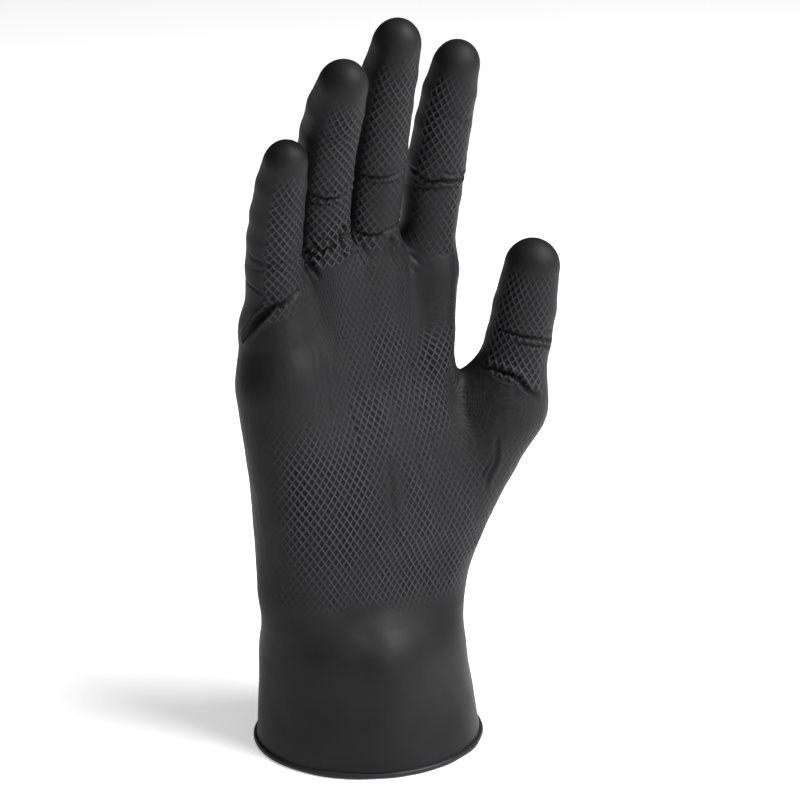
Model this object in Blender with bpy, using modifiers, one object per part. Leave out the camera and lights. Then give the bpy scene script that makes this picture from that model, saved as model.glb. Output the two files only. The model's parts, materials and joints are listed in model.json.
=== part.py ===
"""A disposable nitrile work glove in the shape it takes when worn.

The real glove is one dipped film with a rolled bead at its mouth. Here the film is divided at the
creases where it bends, so that each stretch of it is a piece of its own and can move.
The hand's length runs along +Z, the palm faces -Y and the thumb is towards +X.
"""
import bmesh
import bpy
from math import copysign, cos, pi, radians, sin, tan
from mathutils import Matrix, Vector

MM = 0.001

# Film, and the clearance that each cut edge keeps from its hinge plane.
WALL = 0.3
GAP = 0.3
STALL_POINTS = 20
HAND_POINTS = 36

# Rolled bead: the lowest part of the glove, resting on one of its flats at z = 0.
BEAD_RADIUS = 1.1
BEAD_SIDES = 10
BEAD_STEPS = 48
BEAD_TOP = 2 * BEAD_RADIUS * cos(pi / BEAD_SIDES)

# Wrist hinge, across the hand, and how far the hand bends each way, in degrees.
WRIST = (0.0, 0.5, 58.0)
WRIST_FLEXION = 40
WRIST_EXTENSION = 30

# Sections across the film: height, left and right edges, palm and back faces.
CUFF_SECTIONS = (
    (BEAD_TOP + GAP, -40.5, 36.8, -36.5, 36.5),
    (10.0, -39.3, 34.6, -33.0, 33.0),
    (22.0, -38.6, 32.4, -29.6, 29.8),
    (40.0, -39.6, 31.2, -27.8, 28.2),
    (WRIST[2], -39.8, 34.2, -25.6, 26.4),
)
HAND_SECTIONS = (
    (WRIST[2], -39.8, 34.2, -25.6, 26.4),
    (74.0, -42.6, 37.0, -22.0, 24.4),
    (90.0, -44.2, 36.0, -16.0, 20.4),
    (108.0, -46.4, 34.0, -13.0, 17.2),
    (126.0, -47.0, 32.0, -11.6, 16.4),
    (148.0, -46.6, 32.6, -10.6, 15.8),
)
# The palm and the back meet along a side line at this depth. The knuckle line falls towards the
# little finger, and above it the film closes in a low dome.
SIDE_LINE = 2.5
KNUCKLE_SLOPE = 0.14
KNUCKLE_DOME = 13.0
HAND_POWER = 2.4
# A dome has this many rows below its top point. Its last row stands this share of a row lower than
# an even spacing would put it, so that the top isn't pinched.
DOME_ROWS = 3
KNUCKLE_TOP_GAP = 0.6
FINGERTIP_TOP_GAP = 0.4
# The knuckle dome narrows less across the hand than from palm to back.
KNUCKLE_FULLNESS = 0.5
# Height of a fingertip's dome, as a share of its half width.
FINGERTIP_DOME = 0.95
# The inside of the hand is cut this far through its open wrist.
OPEN_END = 6.0
# A box that is larger than the glove, and its middle height.
CUTTER_SIZE = 400.0
CUTTER_HEIGHT = 120.0

# The ball of the thumb: centre, half width and half depth from the wrist to the thumb's root.
THENAR_SECTIONS = (
    ((8.0, 0.0, 66.0), 12.0, 13.0),
    ((19.0, -3.0, 74.0), 15.0, 16.5),
    ((31.5, -6.5, 90.0), 15.2, 15.5),
    ((42.5, -10.5, 107.0), 14.0, 13.4),
    ((46.3, -12.6, 115.5), 9.6, 9.0),
)

# Share of a stall's root half width that its sections have, at the root and at each hinge to the tip.
FINGER_WIDTHS = (1.0, 0.96, 0.90, 0.78)
FINGER_DEPTHS = (0.98, 0.92, 0.84, 0.68)
THUMB_WIDTHS = (1.0, 0.94, 0.76)
THUMB_DEPTHS = (0.95, 0.87, 0.64)

# Each stall: root point, lean about Y, turn about its own length, bends at the root and at its later
# hinges, phalanx lengths, the fixed stub before the first hinge, and each hinge's flexion.
# A hinge also opens by its own bend, plus the extension, so that every stall can be straightened.
# A stub starts inside the hand, below the root by this share of the half width.
STALLS = {
    "index": dict(root=(22.0, 2.0, 159.0), lean=-1.5, turn=0.0, bends=(11.5, 6.0, 4.0),
                  lengths=(28.0, 24.0, 23.0), half_width=9.9, stub=13.0, flexion=(45, 60, 35)),
    "middle": dict(root=(-0.5, 3.0, 164.0), lean=-6.5, turn=0.0, bends=(18.0, 3.5, 6.5),
                   lengths=(31.5, 27.5, 24.5), half_width=9.8, stub=13.0, flexion=(45, 60, 35)),
    "ring": dict(root=(-19.0, 3.0, 163.0), lean=-11.0, turn=0.0, bends=(18.5, 10.5, 9.5),
                 lengths=(28.5, 26.5, 23.5), half_width=9.8, stub=12.0, flexion=(45, 55, 30)),
    "little": dict(root=(-36.5, 2.0, 148.0), lean=-8.5, turn=0.0, bends=(13.0, 10.0, 6.0),
                   lengths=(23.5, 19.5, 21.5), half_width=9.0, stub=9.5, flexion=(45, 55, 35)),
    "thumb": dict(root=(45.5, -12.0, 110.0), lean=12.0, turn=-40.0, bends=(9.0, 7.5),
                  lengths=(26.5, 29.5), half_width=11.2, stub=11.5, flexion=(25, 50)),
}
STUB_SINK = 0.7
BASE_EXTENSION = 10
LATER_EXTENSION = 3
STALL_ROWS = 3

FILM_COLOUR = (0.022, 0.022, 0.024, 1.0)
FILM_ROUGHNESS = 0.5
BEAD_ROUGHNESS = 0.42


def clear_scene():
    for item in list(bpy.data.objects):
        bpy.data.objects.remove(item, do_unlink=True)


def new_collection(name):
    collection = bpy.data.collections.new(name)
    bpy.context.scene.collection.children.link(collection)
    return collection


def give_material(item, roughness):
    material = bpy.data.materials.new(item.name + "_nitrile")
    material.use_nodes = True
    shader = material.node_tree.nodes["Principled BSDF"]
    shader.inputs["Base Color"].default_value = FILM_COLOUR
    shader.inputs["Roughness"].default_value = roughness
    shader.inputs["Metallic"].default_value = 0.0
    item.data.materials.append(material)


def metres(point):
    return Vector(point) * MM


def place(name, mesh, collection, frame=Matrix()):
    """A new object whose origin and axes are those of the frame."""
    item = bpy.data.objects.new(name, mesh)
    item.matrix_world = frame
    collection.objects.link(item)
    return item


def attach(child, parent):
    """Parent the child where it stands."""
    child.parent = parent
    child.matrix_parent_inverse = parent.matrix_world.inverted()


# Sections and lofts

def oval(half_width, half_depth, count, power=2.0):
    """Points round a superellipse, anticlockwise seen from +Z, with one on the X axis each side."""
    points = []
    for step in range(count):
        angle = 2 * pi * step / count
        across = copysign(abs(cos(angle)) ** (2 / power), cos(angle))
        through = copysign(abs(sin(angle)) ** (2 / power), sin(angle))
        points.append(Vector((half_width * across, half_depth * through, 0.0)))
    return points


def loft(name, rings, start="open", end="open"):
    """A surface through the rings. An end is open, split along its middle, or drawn to a point."""
    mesh = bmesh.new()
    loops = [[mesh.verts.new(metres(point)) for point in ring] for ring in rings]
    count = len(loops[0])
    for lower, upper in zip(loops, loops[1:]):
        for i in range(count):
            j = (i + 1) % count
            mesh.faces.new((lower[i], lower[j], upper[j], upper[i]))
    for loop, kind, turn in ((loops[0], start, -1), (loops[-1], end, 1)):
        if kind == "split":
            half = count // 2
            for part in (loop[:half + 1], loop[half:] + loop[:1]):
                mesh.faces.new(part[::turn])
        if kind == "point":
            middle = sum((vertex.co for vertex in loop), Vector()) / count
            pole = mesh.verts.new(middle + Vector((0.0, 0.0, turn * WALL * MM / 2)))
            for i in range(count):
                mesh.faces.new([loop[i], loop[(i + 1) % count], pole][::turn])
    data = bpy.data.meshes.new(name)
    mesh.to_mesh(data)
    mesh.free()
    return data


def film(item, thickness=WALL):
    """Turn an open surface into film, thickened inwards."""
    solidify = item.modifiers.new("film", "SOLIDIFY")
    solidify.thickness = thickness * MM
    solidify.offset = -1.0
    solidify.use_even_offset = True


# Stalls

def hinge_frames(stall):
    """The root's frame, then one at each hinge: X is the hinge's axis, Z runs towards the tip."""
    frame = Matrix.Translation(metres(stall["root"]))
    frame = frame @ Matrix.Rotation(radians(stall["lean"]), 4, "Y")
    frame = frame @ Matrix.Rotation(radians(stall["turn"]), 4, "Z")
    frame = frame @ Matrix.Rotation(radians(stall["bends"][0]), 4, "X")
    frames = [frame, frame @ Matrix.Translation(metres((0.0, 0.0, stall["stub"])))]
    for bend, length in zip(stall["bends"][1:], stall["lengths"]):
        frame = frame @ Matrix.Translation(metres((0.0, 0.0, length)))
        frame = frame @ Matrix.Rotation(radians(bend), 4, "X")
        frames.append(frame)
    return frames


def hinge_notches(stall):
    """For each hinge, how far an edge leans back from it on the palm side and on the back, in degrees."""
    notches = []
    rest_bends = (0.0,) + stall["bends"][1:]
    for rest, flexion in zip(rest_bends, stall["flexion"]):
        extension = BASE_EXTENSION if rest == 0.0 else LATER_EXTENSION
        notches.append(((rest + flexion) / 2, extension / 2))
    return notches


def edge_height(across, notch):
    """How far a cut edge stands off its hinge plane, at a distance towards the palm or the back."""
    palm_side, back_side = notch
    angle = palm_side if across < 0 else back_side
    return GAP + abs(across) * tan(radians(angle))


def stall_section(stall, part, share, inset):
    """The oval section of a stall, at a share of the way along one of its phalanges."""
    thumb = len(stall["lengths"]) == 2
    widths = THUMB_WIDTHS if thumb else FINGER_WIDTHS
    depths = THUMB_DEPTHS if thumb else FINGER_DEPTHS
    half_width = stall["half_width"] * (widths[part] + (widths[part + 1] - widths[part]) * share)
    half_depth = stall["half_width"] * (depths[part] + (depths[part + 1] - depths[part]) * share)
    return oval(half_width - inset, half_depth - inset, STALL_POINTS)


def stub_mesh(stall, inset, beyond):
    """The solid of a stall's fixed stub. It starts inside the hand and ends at the first hinge."""
    notch = hinge_notches(stall)[0]
    start = inset - STUB_SINK * stall["half_width"]
    rings = []
    for row in range(STALL_ROWS):
        along = row / (STALL_ROWS - 1)
        share = max(0.0, start + (stall["stub"] - start) * along) / stall["lengths"][0]
        ring = []
        for point in stall_section(stall, 0, share, inset):
            end = stall["stub"] - edge_height(point.y, notch) + beyond
            ring.append(Vector((point.x, point.y, start + (end - start) * along)))
        rings.append(ring)
    return loft("stub", rings, start="split", end="split")


def phalanx_mesh(stall, part, first, length, notch_in, notch_out):
    """The open surface of one phalanx of film, from its own hinge to the next."""
    rings = []
    for row in range(STALL_ROWS + 1):
        along = row / STALL_ROWS
        share = first + (1 - first) * along
        ring = []
        for point in stall_section(stall, part, share, 0.0):
            start = edge_height(point.y, notch_in)
            end = length - edge_height(point.y, notch_out)
            ring.append(Vector((point.x, point.y, start + (end - start) * along)))
        rings.append(ring)
    return loft("phalanx", rings)


def fingertip_mesh(stall, part, length, notch_in):
    """The closed end of a stall: a tapering tube and a round dome."""
    dome = FINGERTIP_DOME * stall_section(stall, part, 1.0, 0.0)[0].x
    rings = []
    for row in range(STALL_ROWS):
        along = row / (STALL_ROWS - 1)
        ring = []
        for point in stall_section(stall, part, along * (length - dome) / length, 0.0):
            start = edge_height(point.y, notch_in)
            end = length - dome
            ring.append(Vector((point.x, point.y, start + (end - start) * along)))
        rings.append(ring)
    shoulder = rings[-1]
    for row in range(1, DOME_ROWS + 1):
        angle = pi / 2 * row / (DOME_ROWS + FINGERTIP_TOP_GAP)
        rings.append([Vector((point.x * cos(angle), point.y * cos(angle), point.z + dome * sin(angle)))
                      for point in shoulder])
    return loft("fingertip", rings, end="point")


def make_stall(name, stall, hand, collection):
    """A stall's film beyond its stub: one piece to each phalanx, each on its own hinge."""
    frames = hinge_frames(stall)[1:]
    notches = hinge_notches(stall)
    count = len(stall["lengths"])
    labels = ("base", "tip") if count == 2 else ("base", "middle", "tip")
    parent = hand
    for part, label in enumerate(labels):
        taken = stall["stub"] if part == 0 else 0.0
        length = stall["lengths"][part] - taken
        if part == count - 1:
            mesh = fingertip_mesh(stall, part, length, notches[part])
        else:
            first = taken / stall["lengths"][part]
            mesh = phalanx_mesh(stall, part, first, length, notches[part], notches[part + 1])
        piece = place(name + "_" + label, mesh, collection, frames[part])
        film(piece)
        give_material(piece, FILM_ROUGHNESS)
        attach(piece, parent)
        parent = piece


# Hand

def film_section(section, inset, power):
    """One section of the cuff or the hand, as points at its height."""
    height, left, right, front, back = section
    centre = Vector(((left + right) / 2, (front + back) / 2, height))
    points = oval((right - left) / 2 - inset, (back - front) / 2 - inset, HAND_POINTS, power)
    return [centre + point for point in points]


def follow_wrist(ring, side):
    """Lean a ring's points back from the wrist hinge, above it (side 1) or below it (side -1)."""
    notch = (WRIST_FLEXION / 2, WRIST_EXTENSION / 2)
    for point in ring:
        point.z = WRIST[2] + side * edge_height(point.y - WRIST[1], notch)


def hand_mesh(inset, beyond):
    """The solid of the hand without its stalls, closed in a low dome at the knuckles."""
    rings = [film_section(section, inset, HAND_POWER) for section in HAND_SECTIONS]
    follow_wrist(rings[0], 1)
    for point in rings[0]:
        point.z -= beyond
    top = rings[-1]
    height = KNUCKLE_DOME - inset
    for row in range(1, DOME_ROWS + 1):
        angle = pi / 2 * row / (DOME_ROWS + KNUCKLE_TOP_GAP)
        centre = sum(top, Vector()) / len(top)
        rings.append([Vector((centre.x + (point.x - centre.x) * cos(angle) ** KNUCKLE_FULLNESS,
                              centre.y + (point.y - centre.y) * cos(angle),
                              point.z + height * sin(angle))) for point in top])
    lowest = HAND_SECTIONS[2][0]
    highest = HAND_SECTIONS[-1][0]
    for ring in rings:
        for point in ring:
            share = min(1.0, max(0.0, (point.z - lowest) / (highest - lowest)))
            point.z += KNUCKLE_SLOPE * share * point.x
    return loft("hand", rings, start="split", end="point")


def thenar_mesh(inset):
    """The solid of the ball of the thumb, which ends inside the thumb's stub."""
    rings = []
    for centre, half_width, half_depth in THENAR_SECTIONS:
        ring = oval(half_width - inset, half_depth - inset, STALL_POINTS)
        rings.append([Vector(centre) + point for point in ring])
    for ring, rise in ((rings[0], inset), (rings[-1], -inset)):
        for point in ring:
            point.z += rise
    return loft("thenar", rings, start="split", end="split")


def combine(item, operation, other):
    boolean = item.modifiers.new(operation.lower(), "BOOLEAN")
    boolean.operation = operation
    boolean.solver = "EXACT"
    boolean.object = other


def hand_volume(name, inset, beyond, cutters):
    """The hand with its stubs and the ball of the thumb, as one solid."""
    volume = place(name, hand_mesh(inset, beyond), cutters)
    combine(volume, "UNION", place(name + "_thenar", thenar_mesh(inset), cutters))
    for stall_name, stall in STALLS.items():
        stub = place(name + "_" + stall_name, stub_mesh(stall, inset, beyond), cutters, hinge_frames(stall)[0])
        combine(volume, "UNION", stub)
    return volume


def other_side(name, side, cutters):
    """A box over all that isn't on the palm side (-1) or the back (1) of the hand's side line."""
    bpy.ops.mesh.primitive_cube_add(size=CUTTER_SIZE * MM)
    box = bpy.context.active_object
    box.name = name
    box.location = metres((0.0, SIDE_LINE + side * (GAP - CUTTER_SIZE) / 2, CUTTER_HEIGHT))
    for collection in list(box.users_collection):
        collection.objects.unlink(box)
    cutters.objects.link(box)
    return box


def make_hand(cuff, collection, cutters):
    """The palm and the back of the hand: the hand's skin, divided along its sides."""
    wrist = Matrix.Translation(metres(WRIST))
    inner = hand_volume("hand_inside", WALL, OPEN_END, cutters)
    pieces = []
    for name, side in (("palm_film", -1), ("back_film", 1)):
        outer = hand_volume(name + "_outside", 0.0, 0.0, cutters)
        combine(outer, "DIFFERENCE", other_side(name + "_side", side, cutters))
        combine(outer, "DIFFERENCE", inner)
        bpy.context.view_layer.update()
        evaluated = outer.evaluated_get(bpy.context.evaluated_depsgraph_get())
        mesh = bpy.data.meshes.new_from_object(evaluated)
        mesh.transform(wrist.inverted())
        mesh.materials.clear()
        piece = place(name, mesh, collection, wrist)
        give_material(piece, FILM_ROUGHNESS)
        attach(piece, cuff)
        pieces.append(piece)
    return pieces[0]


# Cuff

def make_cuff(collection):
    """The cuff's sleeve: a tube of film that widens to its mouth."""
    rings = [film_section(section, 0.0, 2.0) for section in CUFF_SECTIONS]
    follow_wrist(rings[-1], -1)
    sleeve = place("cuff_sleeve", loft("cuff_sleeve", rings), collection)
    film(sleeve)
    give_material(sleeve, FILM_ROUGHNESS)
    return sleeve


def make_bead(cuff, collection):
    """The rolled bead under the sleeve's edge."""
    height, left, right, front, back = CUFF_SECTIONS[0]
    radius = (right - left) / 2 - WALL / 2
    bpy.ops.mesh.primitive_torus_add(major_segments=BEAD_STEPS, minor_segments=BEAD_SIDES,
                                     major_radius=radius * MM, minor_radius=BEAD_RADIUS * MM)
    bead = bpy.context.active_object
    bead.name = "cuff_bead"
    depth = ((back - front) / 2 - WALL / 2) / radius
    bead.data.transform(Matrix.Diagonal((1.0, depth, 1.0, 1.0)))
    bead.location = metres(((left + right) / 2, (front + back) / 2, BEAD_TOP / 2))
    for other in list(bead.users_collection):
        other.objects.unlink(bead)
    collection.objects.link(bead)
    give_material(bead, BEAD_ROUGHNESS)
    attach(bead, cuff)


def main():
    clear_scene()
    glove = new_collection("disposable_glove")
    cutters = new_collection("cutters")
    cuff = make_cuff(glove)
    make_bead(cuff, glove)
    hand = make_hand(cuff, glove, cutters)
    bpy.context.view_layer.update()
    for name, stall in STALLS.items():
        make_stall(name, stall, hand, glove)
    for cutter in cutters.objects:
        cutter.hide_render = True
        cutter.display_type = "WIRE"


main()
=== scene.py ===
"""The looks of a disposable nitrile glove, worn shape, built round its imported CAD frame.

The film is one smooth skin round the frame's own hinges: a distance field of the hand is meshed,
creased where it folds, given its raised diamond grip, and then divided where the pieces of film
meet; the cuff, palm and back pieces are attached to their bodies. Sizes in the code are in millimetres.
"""
import json

import bpy
import numpy as np
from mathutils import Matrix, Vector


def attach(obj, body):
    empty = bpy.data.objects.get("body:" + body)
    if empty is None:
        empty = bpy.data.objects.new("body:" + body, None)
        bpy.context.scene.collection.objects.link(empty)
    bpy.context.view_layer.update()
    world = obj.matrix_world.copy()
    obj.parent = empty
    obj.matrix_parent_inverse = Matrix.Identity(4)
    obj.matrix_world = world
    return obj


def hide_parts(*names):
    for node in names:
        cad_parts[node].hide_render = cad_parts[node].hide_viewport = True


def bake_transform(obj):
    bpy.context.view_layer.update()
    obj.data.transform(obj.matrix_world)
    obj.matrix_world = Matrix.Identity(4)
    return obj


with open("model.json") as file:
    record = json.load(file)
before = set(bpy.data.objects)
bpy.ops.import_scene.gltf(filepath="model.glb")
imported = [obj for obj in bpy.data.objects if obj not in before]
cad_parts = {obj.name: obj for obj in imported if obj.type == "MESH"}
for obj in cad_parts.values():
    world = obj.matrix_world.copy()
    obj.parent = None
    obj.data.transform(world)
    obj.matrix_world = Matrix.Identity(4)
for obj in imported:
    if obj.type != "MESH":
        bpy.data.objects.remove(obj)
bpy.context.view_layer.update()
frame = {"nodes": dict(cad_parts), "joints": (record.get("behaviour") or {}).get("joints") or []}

MM = 0.001

# The first grid's pitch, which one subdivision halves, and the thickness of the film.
PITCH = 0.9
FILM = 0.28


# The skeleton, from the frame

HINGES = {hinge["name"]: hinge for hinge in frame["joints"]}


def hinge_point(name):
    return np.array(HINGES[name + "_bend"]["pos_m"]) / MM


def hinge_axis(name):
    axis = np.array(HINGES[name + "_bend"]["axis"], float)
    return axis / np.linalg.norm(axis)


def node_points(name):
    vertices = frame["nodes"][name].data.vertices
    points = np.empty(len(vertices) * 3)
    vertices.foreach_get("co", points)
    return points.reshape(-1, 3) / MM


def unit(vector):
    return vector / np.linalg.norm(vector)


def smoothstep(x, low, high):
    t = np.clip((x - low) / (high - low), 0.0, 1.0)
    return t * t * (3 - 2 * t)


# How far a stall's centre line stands behind the frame's at its tip.
DORSAL_SWELL = 0.8
# How far from each knee its corner is cut off.
KNEE_CUT = 5.5
# A stall's width at its tip as a share of its last length's, and its depth at the root as a share
# of its width there.
TIP_SHARE = 0.86
ROOT_DEPTH = 0.98


class Stall:
    """One finger or thumb: the stations of its centre line, and its half widths there."""

    def __init__(self, name, stub, grip_turn, root_share=1.01, tip_depth=1.0):
        self.name = name
        self.labels = ("base", "tip") if name == "thumb" else ("base", "middle", "tip")
        hinges = [hinge_point(name + "_" + label) for label in self.labels]
        last = node_points(name + "_tip")
        reach = np.linalg.norm(last - hinges[-1], axis=1)
        self.across = hinge_axis(name + "_base")
        self.hinge = hinges[0]
        self.along = unit(hinges[1] - hinges[0])
        self.root = hinges[0] - stub * self.along
        self.points = np.array([self.root] + hinges[1:] + [last[reach.argmax()]])
        spans = [np.ptp(node_points(name + "_" + label) @ self.across) / 2 for label in self.labels]
        self.widths = np.array([spans[0] * root_share] + spans[1:] + [spans[-1] * TIP_SHARE])
        self.depths = self.widths * np.linspace(ROOT_DEPTH, tip_depth, len(self.widths))
        backward = np.cross(unit(self.points[-1] - self.points[-2]), self.across)
        self.points[-2] += backward * DORSAL_SWELL / 2
        self.points[-1] += backward * DORSAL_SWELL
        self.lengths = np.linalg.norm(np.diff(self.points, axis=0), axis=1)
        self.starts = np.concatenate(([0.0], np.cumsum(self.lengths)))
        stations = [0.0]
        for start in self.starts[1:-1]:
            stations += [start - KNEE_CUT, start + KNEE_CUT]
        stations = np.array(stations + [self.starts[-1]])
        self.bones = np.column_stack([np.interp(stations, self.starts, self.points[:, k])
                                      for k in range(3)])
        self.bone_widths = np.interp(stations, self.starts, self.widths)
        self.bone_depths = np.interp(stations, self.starts, self.depths)
        self.stub = stub
        self.grip_turn = np.radians(grip_turn)


# How far each first hinge stands beyond its stall's root, and how far its grip band is turned
# from the palm's own direction towards the little finger, in degrees. Some are also given their
# width at the root as a share of the frame's, and their depth at the tip as a share of the width.
STALLS = {
    "index": Stall("index", 13.0, 26.0, 0.93, 0.95),
    "middle": Stall("middle", 13.0, 14.0),
    "ring": Stall("ring", 12.0, 6.0),
    "little": Stall("little", 9.5, 2.0, 0.97, 0.95),
    "thumb": Stall("thumb", 11.5, 0.0, 1.0, 0.88),
}
WRIST = hinge_point("wrist")


# The distance field of the hand

def smooth_min(a, b, width):
    overlap = np.maximum(width - np.abs(a - b), 0.0) / width
    return np.minimum(a, b) - overlap * overlap * width / 4


def cone_field(p, start, end, across, first, last, cap):
    """Distance to a tapering oval tube with round ends. first and last are (half width, half depth)."""
    axis = end - start
    length = np.linalg.norm(axis)
    axis = axis / length
    side = unit(across - axis * (across @ axis))
    through = np.cross(axis, side)
    q = p - start
    along = q @ axis
    share = np.clip(along / length, 0.0, 1.0)
    half_width = first[0] + (last[0] - first[0]) * share
    half_depth = first[1] + (last[1] - first[1]) * share
    beyond = along - np.clip(along, 0.0, length)
    reach = (half_width + half_depth) / 2 * np.where(beyond < 0, 1.0, cap)
    x = (q @ side) / half_width
    y = (q @ through) / half_depth
    z = beyond / reach
    size = np.sqrt(x * x + y * y + z * z)
    slope = np.sqrt((x / half_width) ** 2 + (y / half_depth) ** 2 + (z / reach) ** 2)
    return size * (size - 1) / np.maximum(slope, 1e-9)


# The cuff's heights at which the frame's sleeve is measured, and how far above a height it looks.
CUFF_HEIGHTS = (2.5, 10.0, 22.0, 40.0, 58.0)
SLICE = 4.0
# The film is drawn in this much at the mouth, within the bead.
MOUTH_TUCK = 1.1
CUFF_TOP = 74.0
TOP_SIZES = (35.8, 22.4)
CUFF_DOME = 48.0
PROFILE_STEP = 0.5
PROFILE_SOFTNESS = 6.0


def cuff_profile():
    """Centre, half width and half depth of the cuff by height, measured on the frame and smoothed."""
    points = node_points("cuff_sleeve")
    rows = []
    for height in CUFF_HEIGHTS:
        ring = points[np.abs(points[:, 2] - height) < SLICE]
        tuck = MOUTH_TUCK if height == CUFF_HEIGHTS[0] else 0.0
        rows.append((height, np.mean((ring[:, 0].min(), ring[:, 0].max())),
                     np.ptp(ring[:, 0]) / 2 - tuck, np.ptp(ring[:, 1]) / 2 - tuck))
    rows.append((CUFF_TOP, WRIST[0] - 0.5, TOP_SIZES[0], TOP_SIZES[1]))
    rows = np.array(rows)
    heights = np.arange(-20.0, CUFF_TOP + 20.0, PROFILE_STEP)
    reach = int(PROFILE_SOFTNESS * 3 / PROFILE_STEP)
    kernel = np.exp(-0.5 * (np.arange(-reach, reach + 1) * PROFILE_STEP / PROFILE_SOFTNESS) ** 2)
    kernel /= kernel.sum()
    columns = []
    for column in (1, 2, 3):
        slope = (rows[1, column] - rows[0, column]) / (rows[1, 0] - rows[0, 0])
        values = np.interp(heights, rows[:, 0], rows[:, column])
        values = np.where(heights < rows[0, 0], rows[0, column] + slope * (heights - rows[0, 0]), values)
        columns.append(np.convolve(np.pad(values, reach, mode="edge"), kernel, mode="valid"))
    return heights, columns


PROFILE_HEIGHTS, PROFILE_COLUMNS = cuff_profile()


def cuff_field(p):
    """Distance to the cuff, which closes in a dome inside the palm."""
    held = np.minimum(p[:, 2], CUFF_TOP)
    centre, half_width, half_depth = (np.interp(held, PROFILE_HEIGHTS, c) for c in PROFILE_COLUMNS)
    x = (p[:, 0] - centre) / half_width
    y = p[:, 1] / half_depth
    over = np.maximum(p[:, 2] - CUFF_TOP, 0.0) / CUFF_DOME
    size = np.sqrt(x * x + y * y + over * over)
    slope = np.sqrt((x / half_width) ** 2 + (y / half_depth) ** 2)
    return size * (size - 1) / np.maximum(slope, 1e-3)


# The palm: a ray from the wrist to each finger's root, and the two swellings beside the wrist.
# A ray is named by its finger: start beside the wrist, its half width and depth there, and at the root.
RAYS = {
    "index": ((14.3, 1.5, 4.0), (12.0, 15.0), (9.4, 12.5)),
    "middle": ((4.0, 2.5, 2.0), (12.0, 16.0), (12.0, 12.5)),
    "ring": ((-8.0, 2.5, 2.0), (12.0, 16.0), (11.5, 12.0)),
    "little": ((-21.5, 1.5, 4.0), (12.0, 15.0), (9.9, 11.5)),
}
RAY_SHORT = 6.0
RAY_BLEND = 12.0
THENAR_START = (15.2, -1.0, -6.0)
THENAR_END = (-2.4, 1.6, -2.3)
THENAR_SIZES = ((13.0, 13.0), (14.9, 14.5))
HYPOTHENAR_START = (-26.8, -3.0, 2.0)
HYPOTHENAR_END = (0.4, -3.6, -23.0)
HYPOTHENAR_SIZES = ((12.8, 12.0), (12.6, 11.4))
SWELLING_BLEND = 13.0
CUFF_BLEND = 11.0
STALL_BLEND = 7.0
THUMB_BLEND = 9.0
KNEE_BLEND = 0.8
# Length of a stall's rounded end as a share of its half width.
TIP_LENGTH = 1.15
SIDEWAYS = np.array((1.0, 0.0, 0.0))


def palm_field(p):
    field = None
    for name, (start, first, last) in RAYS.items():
        end = STALLS[name].root - np.array((0.0, 0.0, RAY_SHORT))
        ray = cone_field(p, WRIST + np.array(start), end, SIDEWAYS, first, last, 1.0)
        field = ray if field is None else smooth_min(field, ray, RAY_BLEND)
    swellings = (
        (WRIST + np.array(THENAR_START), STALLS["thumb"].root + np.array(THENAR_END), THENAR_SIZES),
        (WRIST + np.array(HYPOTHENAR_START), STALLS["little"].root + np.array(HYPOTHENAR_END),
         HYPOTHENAR_SIZES),
    )
    for start, end, sizes in swellings:
        swelling = cone_field(p, start, end, SIDEWAYS, sizes[0], sizes[1], 1.0)
        field = smooth_min(field, swelling, SWELLING_BLEND)
    return smooth_min(field, cuff_field(p), CUFF_BLEND)


def stall_field(p, stall):
    field = None
    last = len(stall.bones) - 2
    for i in range(last + 1):
        end = stall.bones[i + 1]
        cap = 1.0
        if i == last:
            cap = TIP_LENGTH
            size = (stall.bone_widths[-1] + stall.bone_depths[-1]) / 2
            end = end - unit(end - stall.bones[i]) * size * cap
        sizes = [(stall.bone_widths[k], stall.bone_depths[k]) for k in (i, i + 1)]
        bone = cone_field(p, stall.bones[i], end, stall.across, sizes[0], sizes[1], cap)
        field = bone if field is None else smooth_min(field, bone, KNEE_BLEND)
    return field


def hand_field(p):
    """Distance to the whole glove. Stalls run smoothly into the palm, but not into each other."""
    palm = palm_field(p)
    field = palm
    for stall in STALLS.values():
        blend = THUMB_BLEND if stall.name == "thumb" else STALL_BLEND
        field = np.minimum(field, smooth_min(palm, stall_field(p, stall), blend))
    return field


def gradient(p, step=0.05):
    base = hand_field(p)
    slope = np.empty_like(p)
    for axis in range(3):
        moved = p.copy()
        moved[:, axis] += step
        slope[:, axis] = (hand_field(moved) - base) / step
    return base, slope


def onto_skin(p, rounds=2):
    """Points moved to the field's zero surface."""
    p = p.copy()
    for _ in range(rounds):
        value, slope = gradient(p)
        square = np.maximum((slope * slope).sum(1), 1e-3)
        p -= slope * np.clip(value / square, -1.0, 1.0)[:, None]
    return p


# Meshing

def sample_field(low, shape):
    """The field on a grid, worked out only in the blocks near the skin."""
    block = 8
    blocks = [-(-n // block) for n in shape]
    values = np.full([n * block for n in blocks], 9.0)
    centres = np.stack(np.meshgrid(*[(np.arange(n) + 0.5) * block for n in blocks], indexing="ij"), -1)
    rough = hand_field(low + centres.reshape(-1, 3) * PITCH).reshape(blocks)
    offsets = np.stack(np.meshgrid(*[np.arange(block)] * 3, indexing="ij"), -1).reshape(-1, 3)
    margin = block * PITCH * 1.2
    view = values.reshape(blocks[0], block, blocks[1], block, blocks[2], block)
    view[...] = rough[:, None, :, None, :, None]
    near = np.argwhere(np.abs(rough) < margin)
    batch = 1500
    for first in range(0, len(near), batch):
        chosen = near[first:first + batch]
        index = (chosen[:, None, :] * block + offsets[None]).reshape(-1, 3)
        values[index[:, 0], index[:, 1], index[:, 2]] = hand_field(low + index * PITCH)
    return values


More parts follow.
